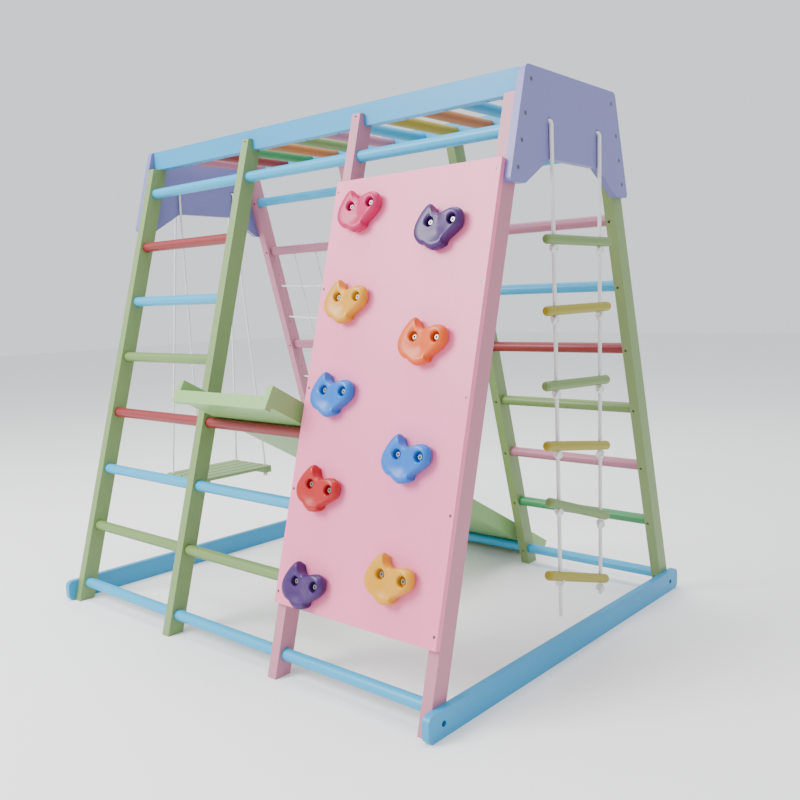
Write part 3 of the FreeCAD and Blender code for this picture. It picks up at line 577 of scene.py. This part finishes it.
def hold_body():
    """One moulded hold, flat on z = 0, still without its two sunk bolt holes."""
    outline = [point / 1000 for point in closed_curve(HOLD_OUTLINE, HOLD_OUTLINE_POINTS)]
    n, points, faces = len(outline), [], []
    for share, height in HOLD_PROFILE:
        for point in outline:
            u, v = point.x * share, point.y * share
            rise = max(0.0, height - HOLD_WAIST) / (HOLD_DEPTH - HOLD_WAIST)
            points.append((u, v, height - hold_hollow(u, v) * rise))
    for ring in range(len(HOLD_PROFILE) - 1):
        for j in range(n):
            k = (j + 1) % n
            a, b = ring * n, (ring + 1) * n
            faces.append((a + k, a + j, b + j, b + k))
    last = (len(HOLD_PROFILE) - 1) * n
    points.append((0.0, 0.0, HOLD_PROFILE[-1][1] - hold_hollow(0.0, 0.0)))
    points.append((0.0, 0.0, 0.0))
    for j in range(n):
        k = (j + 1) % n
        faces.append((last + k, last + j, len(points) - 2))
        faces.append((j, k, len(points) - 1))
    return points, faces


def bore_cutter(middle):
    """What a bolt's sunk hole takes out: a straight bore that opens with a soft rim."""
    steps = [(HOLD_BORE_D / 2, HOLD_SEAT), (HOLD_BORE_D / 2, HOLD_BORE_TOP), *HOLD_MOUTH]
    count, points, faces = HOLD_BORE_POINTS, [], []
    for radius, height in steps:
        for j in range(count):
            angle = math.tau * j / count
            points.append((middle[0] + radius * math.cos(angle),
                           middle[1] + radius * math.sin(angle), height))
    for ring in range(len(steps) - 1):
        for j in range(count):
            k = (j + 1) % count
            a, b = ring * count, (ring + 1) * count
            faces.append((a + j, a + k, b + k, b + j))
    faces.append(tuple(reversed(range(count))))
    faces.append(tuple(range((len(steps) - 1) * count, len(steps) * count)))
    return points, faces


def drilled_hold(name, finish):
    """The hold with its holes cut, still flat on z = 0, as a plain mesh."""
    body = new_mesh("hold_blank", *hold_body(), finish)
    cutters = []
    for side in (-1, 1):
        middle = (HOLD_BOLT_SHIFT + side * HOLD_BOLT_SPACING / 2, HOLD_BOLT_RISE)
        cutter = new_mesh("hold_drill", *bore_cutter(middle), finish)
        modifier = body.modifiers.new("Drill", "BOOLEAN")
        modifier.operation = "DIFFERENCE"
        modifier.solver = "EXACT"
        modifier.object = cutter
        cutters.append(cutter)
    mesh = evaluated_mesh(body)
    for piece in (body, *cutters):
        remove(piece)
    mesh.name = name
    if len(mesh.polygons) < 100:
        raise RuntimeError(f"{name} was lost in drilling")
    return mesh


# ---- what can be changed ----------------------------------------------------------------------
class PaintProperties(bpy.types.PropertyGroup):
    leg_green: colour_property("Green legs", "Paint on the green legs", "728B53")
    leg_pink: colour_property("Pink legs", "Paint on the pink legs", "B67387")
    board_pink: colour_property("Board", "Paint on the climbing board", "EB7AA2")
    beam_blue: colour_property("Beams", "Paint on the beams and base rails", "178EC0")
    panel_lilac: colour_property("Gable panels", "Paint on the two gable panels", "7372AB")
    rung_blue: colour_property("Blue rungs", "Paint on the blue rungs", "1C9BC8")
    rung_lime: colour_property("Lime rungs", "Paint on the pale green rungs", "688546")
    rung_red: colour_property("Red rungs", "Paint on the red rungs", "801D21")
    rung_green: colour_property("Green rungs", "Paint on the bright green rungs", "2A8349")
    rung_pink: colour_property("Pink rungs", "Paint on the pink rungs", "A8697F")
    rung_yellow: colour_property("Yellow rungs", "Paint on the yellow rungs", "948A0C")
    rung_orange: colour_property("Orange rungs", "Paint on the orange rungs", "A96325")
    slide_green: colour_property("Slide", "Paint on the slide", "80AB63")
    swing_green: colour_property("Swing seat", "Paint on the swing's seat", "749058")


class MetalProperties(bpy.types.PropertyGroup):
    # The screws' dark grey is a painted shade that stands in for the shade in the screw holes.
    screws: colour_property("Screws", "Dark plating of the frame's screws", "6A6764")
    bolts: colour_property("Hold bolts", "Bright plating of the bolts in the holds", "8E8F8E")


class HoldProperties(bpy.types.PropertyGroup):
    purple: colour_property("Purple", "Plastic of the purple holds", "381457")
    red: colour_property("Red", "Plastic of the red hold", "A60D0D")
    blue: colour_property("Blue", "Plastic of the blue holds", "0A65BC")
    yellow: colour_property("Yellow", "Plastic of the yellow holds", "CB8E00")
    pink: colour_property("Pink", "Plastic of the pink hold", "B80A55")
    orange: colour_property("Orange", "Plastic of the orange hold", "CE5200")


class RopeProperties(bpy.types.PropertyGroup):
    strands: IntProperty(name="Strands", description="Strands in each rope", default=3, min=2, max=6)
    lay: FloatProperty(name="Lay", description="Length of one full twist, in rope diameters",
                       default=3.2, min=1.5, max=8.0)
    groove: FloatProperty(name="Groove", description="Depth between strands, as a share of the radius",
                          default=0.10, min=0.0, max=0.5, subtype="FACTOR")
    colour: colour_property("Cotton", "Colour of the ropes and knots", "E4E7E4")


class StageProperties(bpy.types.PropertyGroup):
    floor: colour_property("Floor", "Colour of the floor", "F4F4F3")
    room_light: FloatProperty(name="Room light", description="Brightness of the light from all round",
                              default=1.15, min=0.0, max=5.0)
    key_light: FloatProperty(name="Window light", description="Power of the large light, in watts",
                             default=330.0, min=0.0, max=2000.0)


# ---- operators -----------------------------------------------------------------------------------
class CLIMBINGFRAME_OT_paint_wood(bpy.types.Operator):
    """Paint every wooden piece, with its grain along its length"""

    bl_idname = "climbingframe.paint_wood"
    bl_label = "Paint the wood"

    def execute(self, context):
        paints = context.scene.climbing_paint
        slope = {side: (0.0, -s * math.sin(LEAN), math.cos(LEAN)) for side, s in SIDES.items()}
        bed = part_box("slide_bed")
        slide = (0.0, bed[1].y - bed[0].y, -(bed[1].z - bed[0].z))
        grain = {
            "near_leg": slope["near"], "far_leg": slope["far"], "climbing_board": slope["near"],
            "near_rung": (1, 0, 0), "far_rung": (1, 0, 0), "near_top": (1, 0, 0), "far_top": (1, 0, 0),
            "net_bars": (1, 0, 0), "overhead": (0, 1, 0), "left_gable": (0, 1, 0),
            "right_gable": (0, 1, 0), "base_rails": (0, 1, 0), "slide": slide,
            "swing_slats": (0, 1, 0), "swing_cleats": (1, 0, 0), "ladder_rungs": (0, 1, 0),
        }
        made = {}
        for name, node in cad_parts.items():
            along = [way for start, way in grain.items() if name.startswith(start)]
            if not along:
                continue
            slot = node.material_slots[0].material.name.split(".")[0]
            if not hasattr(paints, slot):
                raise RuntimeError(f"{name} has no paint for {slot}")
            key = (slot, tuple(along[0]))
            if key not in made:
                made[key] = painted_wood(f"{slot}_paint_{len(made)}", getattr(paints, slot), along[0])
            node.material_slots[0].material = made[key]
        return {"FINISHED"}


class CLIMBINGFRAME_OT_finish_metal(bpy.types.Operator):
    """Give the screws a dark grey steel, a painted shade that stands in for the shade in their holes, and
    the bolts and nuts their bright plating
    """

    bl_idname = "climbingframe.finish_metal"
    bl_label = "Finish the metal"

    def execute(self, context):
        metal = context.scene.climbing_metal
        # The screws' dark colour is painted shade for their holes; the bolts keep their own bright plating.
        for name, colour in (("frame_screws", metal.screws), ("hold_bolts", metal.bolts)):
            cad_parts[name].material_slots[0].material = plated_steel(f"{name}_steel", colour)
        return {"FINISHED"}


class CLIMBINGFRAME_OT_make_holds(bpy.types.Operator):
    """Mould the nine climbing holds on the board"""

    bl_idname = "climbingframe.make_holds"
    bl_label = "Make the climbing holds"

    def execute(self, context):
        colours = context.scene.climbing_holds
        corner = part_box("climbing_board")[0] - HOME
        foot = corner.z / math.cos(LEAN)
        made = {}
        for number, (across, up, turn, colour) in enumerate(HOLD_PLACES, 1):
            if colour not in made:
                made[colour] = moulded_plastic(f"hold_{colour}", getattr(colours, colour))
            name = f"climbing_hold_{number}"
            mesh = drilled_hold(name, made[colour])
            centre = side_point("near", corner.x + across, foot + up, BOARD_THICK)
            over = side_point("near", corner.x + across + 1, foot + up, BOARD_THICK) - centre
            higher = side_point("near", corner.x + across, foot + up + 1, BOARD_THICK) - centre
            lay = Matrix((over, higher, over.cross(higher))).transposed().to_4x4()
            mesh.transform(Matrix.Translation(centre) @ lay @ Matrix.Rotation(math.radians(turn), 4, "Z"))
            mesh.shade_smooth()
            mesh.set_sharp_from_angle(angle=HOLD_EDGE_ANGLE)
            piece = bpy.data.objects.new(name, mesh)
            context.scene.collection.objects.link(piece)
            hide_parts("climbing_holds")
            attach(piece, "root")
        return {"FINISHED"}


class CLIMBINGFRAME_OT_tie_net(bpy.types.Operator):
    """Tie the rope net between its flat bars"""

    bl_idname = "climbingframe.tie_net"
    bl_label = "Tie the rope net"

    def execute(self, context):
        settings = context.scene.climbing_ropes
        legs = [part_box(name) for name in ("far_leg_1", "far_leg_2")]
        left = HOME.x - min(box[1].x for box in legs)
        right = HOME.x - max(box[0].x for box in legs)
        out = -LEG_WIDTH / 2
        heights = [(FIRST_RUNG_Z + RUNG_PITCH * (level - 1) - out * math.sin(LEAN)) / math.cos(LEAN)
                   for level in NET_BAR_LEVELS]
        columns = [left + (right - left) * i / NET_COLUMNS for i in range(1, NET_COLUMNS)]
        lines, knots = [], []
        for x in columns:
            low, high = heights[0] - RUNG_D / 2 - 0.001, heights[-1] + RUNG_D / 2 + 0.001
            lines.append([side_point("far", x, low + (high - low) * t / 40, out) for t in range(41)])
        for low, high in zip(heights, heights[1:]):
            for row in range(1, NET_ROWS):
                end = low + (high - low) * row / NET_ROWS - NET_ROW_DROP
                middle = end - NET_SAG
                way = math.copysign(NET_SOCKET, right - left)
                run = [(left - way, end), (left - way / 4, end), (left + way / 4, end - 0.001)]
                run += [(columns[0], middle), (columns[1], middle - 0.001), (columns[2], middle)]
                run += [(right - way / 4, end - 0.001), (right + way / 4, end), (right + way, end)]
                lines.append(rope_line([side_point("far", x, y, out) for x, y in run]))
                knots += [side_point("far", x, middle, out) for x in columns]
        finish = cotton_rope("net_cotton", settings.colour)
        net = rope_piece("rope_net", lines, NET_ROPE_D, finish, settings)
        ties = knot_piece("rope_net_knots", knots, NET_KNOT, NET_ROPE_D * 0.72, finish, lean=LEAN,
                          seed=4)
        for piece in (net, ties):
            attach(piece, "root")
        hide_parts("net_ropes")
        return {"FINISHED"}


class CLIMBINGFRAME_OT_hang_swing(bpy.types.Operator):
    """Hang the swing's two ropes over the left gable panel"""

    bl_idname = "climbingframe.hang_swing"
    bl_label = "Hang the swing"

    def execute(self, context):
        settings = context.scene.climbing_ropes
        finish = cotton_rope("swing_cotton", settings.colour)
        panel, seat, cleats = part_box("left_gable_panel"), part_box("swing_slats"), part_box("swing_cleats")
        middle = (panel[0].x + panel[1].x) / 2
        reach = (seat[1].x - seat[0].x) / 2 - SWING_ROPE_SIDE
        knot_z = cleats[0].z - SWING_KNOT / 2
        for side, s in SIDES.items():
            hole_y = HOME.y + s * ROPE_HOLE_Y
            seat_y = (seat[0].y + SWING_ROPE_END) if s < 0 else (seat[1].y - SWING_ROPE_END)
            run = []
            for t in (-1, 1):
                half = [
                    (middle + t * reach, seat_y, knot_z),
                    *((middle + t * reach, seat_y, z) for z in SWING_FREE_Z),
                    (middle + t * (reach - 0.0016), seat_y - s * 0.0006, SWING_TURN_Z),
                    (middle + t * (SWING_HANG + 0.0025), hole_y + s * 0.001, SWING_GATHER_Z),
                    (middle + t * SWING_HANG, hole_y, SWING_MOVES_Z),
                    (middle + t * SWING_HANG, hole_y, SWING_CHEEK_Z),
                    (middle + t * SWING_HANG, hole_y, ROPE_HOLE_Z),
                ]
                run += half if t < 0 else list(reversed(half))
            line = rope_line(run)
            piece = rope_piece(f"{side}_swing_cord", [line], SWING_ROPE_D, finish, settings)
            knots = knot_piece(f"{side}_swing_knots", [run[0], run[-1]], SWING_KNOT,
                               SWING_ROPE_D * 0.8, finish, seed=7 + s)
            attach(knots, "swing")
            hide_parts(f"{side}_swing_rope", f"{side}_swing_rope_top")
            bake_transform(piece)
            line_length(line)
        return {"FINISHED"}


class CLIMBINGFRAME_OT_hang_ladder(bpy.types.Operator):
    """Hang the rope ladder's two ropes from the right gable panel"""

    bl_idname = "climbingframe.hang_ladder"
    bl_label = "Hang the rope ladder"

    def execute(self, context):
        settings = context.scene.climbing_ropes
        finish = cotton_rope("ladder_cotton", settings.colour)
        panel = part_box("right_gable_panel")
        x = panel[1].x + LADDER_STAND
        behind = panel[0].x - LADDER_STRAND * 1.3
        for side, s in SIDES.items():
            y = HOME.y + s * ROPE_HOLE_Y
            lean = LADDER_LEANS[side]

            def at(z):
                return x, y + s * lean * (LADDER_PIVOT_Z - z), z

            run = [(behind, y, ROPE_HOLE_Z), (panel[0].x + 0.004, y, ROPE_HOLE_Z), (x, y, ROPE_HOLE_Z),
                   (x, y, LADDER_TURN_Z), *(at(z) for z in LADDER_RUN_Z)]
            line = rope_line(run)
            piece = rope_piece(f"{side}_ladder_cord", [line], LADDER_ROPE_D, finish, settings)
            under = LADDER_RUNG_D / 2 + LADDER_STRAND * 1.3
            heights = [near if side == "near" else far for near, far in LADDER_RUNGS]
            knots = knot_piece(f"{side}_ladder_knots", [at(z - under) for z in heights], LADDER_KNOT,
                               LADDER_STRAND, finish, seed=21 + s)
            stop = knot_piece(f"{side}_ladder_stop", [(behind, y, ROPE_HOLE_Z)], LADDER_KNOT,
                              LADDER_STRAND, finish, seed=31 + s)
            for tied, body in ((knots, "rope_ladder"), (stop, "root")):
                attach(tied, body)
            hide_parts(f"{side}_ladder_rope", f"{side}_ladder_rope_top")
            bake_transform(piece)
            line_length(line)
        return {"FINISHED"}


class CLIMBINGFRAME_OT_set_stage(bpy.types.Operator):
    """Lay the floor, set the lights and place the camera"""

    bl_idname = "climbingframe.set_stage"
    bl_label = "Set the stage"

    def execute(self, context):
        stage, scene = context.scene.climbing_stage, context.scene
        self.lay_floor(stage)
        world = bpy.data.worlds.new("room")
        scene.world = world
        world.use_nodes = True
        world.node_tree.nodes["Background"].inputs[0].default_value = SKY
        world.node_tree.nodes["Background"].inputs[1].default_value = stage.room_light
        middle = (CAD_BOX[0] + CAD_BOX[1]) / 2
        for name, (offset, width, share) in (("window", WINDOW), ("ceiling", CEILING)):
            self.add_light(name, middle + offset, middle, width, stage.key_light * share)
        self.place_camera(scene)
        return {"FINISHED"}

    def lay_floor(self, stage):
        finish = Finish("floor")
        cloud = finish.noise(finish.place(), 3.0, 2.0)
        paint = finish.mixed(cloud, shade(stage.floor, 0.985), shade(stage.floor, 1.0))
        material = finish.set(base_color=paint, roughness=0.85)
        half = FLOOR_REACH
        corners = [(-half, -half, 0.0), (half, -half, 0.0), (half, half, 0.0), (-half, half, 0.0)]
        floor = new_mesh("studio_floor", corners, [(0, 1, 2, 3)], material, smooth=False)

    def add_light(self, name, place, target, size, power):
        light = bpy.data.lights.new(name, "AREA")
        light.shape = "DISK"
        light.size = size
        light.energy = power
        lamp = bpy.data.objects.new(name, light)
        bpy.context.scene.collection.objects.link(lamp)
        lamp.location = place
        lamp.rotation_mode = "QUATERNION"
        lamp.rotation_quaternion = (target - place).to_track_quat("-Z", "Y")

    def place_camera(self, scene):
        ahead = Vector((-math.sin(CAMERA_YAW) * math.cos(CAMERA_PITCH),
                        math.cos(CAMERA_YAW) * math.cos(CAMERA_PITCH), math.sin(CAMERA_PITCH)))
        right = ahead.cross(Vector((0, 0, 1))).normalized()
        up = right.cross(ahead)
        across = math.cos(CAMERA_ROLL) * right + math.sin(CAMERA_ROLL) * up
        above = -math.sin(CAMERA_ROLL) * right + math.cos(CAMERA_ROLL) * up
        data = bpy.data.cameras.new("camera")
        data.lens = CAMERA_LENS
        data.sensor_width = 36.0
        data.shift_x, data.shift_y = CAMERA_SHIFT
        camera = bpy.data.objects.new("camera", data)
        scene.collection.objects.link(camera)
        turn = Matrix((across, above, -ahead)).transposed()
        camera.matrix_world = Matrix.Translation(CAMERA_AT) @ turn.to_4x4()
        scene.camera = camera


class CLIMBINGFRAME_PT_panel(bpy.types.Panel):
    bl_label = "Climbing Frame"
    bl_idname = "CLIMBINGFRAME_PT_panel"
    bl_space_type = "VIEW_3D"
    bl_region_type = "UI"
    bl_category = "Climbing Frame"

    def draw(self, context):
        for holder in PROPERTY_HOLDERS:
            group = getattr(context.scene, holder)
            for name in group.bl_rna.properties.keys():
                if name not in ("rna_type", "name"):
                    self.layout.prop(group, name)
        for operator in OPERATORS:
            self.layout.operator(operator.bl_idname)


PROPERTY_HOLDERS = {
    "climbing_paint": PaintProperties,
    "climbing_metal": MetalProperties,
    "climbing_holds": HoldProperties,
    "climbing_ropes": RopeProperties,
    "climbing_stage": StageProperties,
}
OPERATORS = (
    CLIMBINGFRAME_OT_paint_wood,
    CLIMBINGFRAME_OT_finish_metal,
    CLIMBINGFRAME_OT_make_holds,
    CLIMBINGFRAME_OT_tie_net,
    CLIMBINGFRAME_OT_hang_swing,
    CLIMBINGFRAME_OT_hang_ladder,
    CLIMBINGFRAME_OT_set_stage,
)


def register():
    for group in PROPERTY_HOLDERS.values():
        bpy.utils.register_class(group)
    for operator in OPERATORS:
        bpy.utils.register_class(operator)
    bpy.utils.register_class(CLIMBINGFRAME_PT_panel)
    for holder, group in PROPERTY_HOLDERS.items():
        setattr(bpy.types.Scene, holder, PointerProperty(type=group))


def unregister():
    for holder in PROPERTY_HOLDERS:
        delattr(bpy.types.Scene, holder)
    bpy.utils.unregister_class(CLIMBINGFRAME_PT_panel)
    for operator in reversed(OPERATORS):
        bpy.utils.unregister_class(operator)
    for group in reversed(list(PROPERTY_HOLDERS.values())):
        bpy.utils.unregister_class(group)


def main():
    register()
    for operator in OPERATORS:
        group, name = operator.bl_idname.split(".")
        getattr(getattr(bpy.ops, group), name)()


if __name__ == "__main__":
    main()
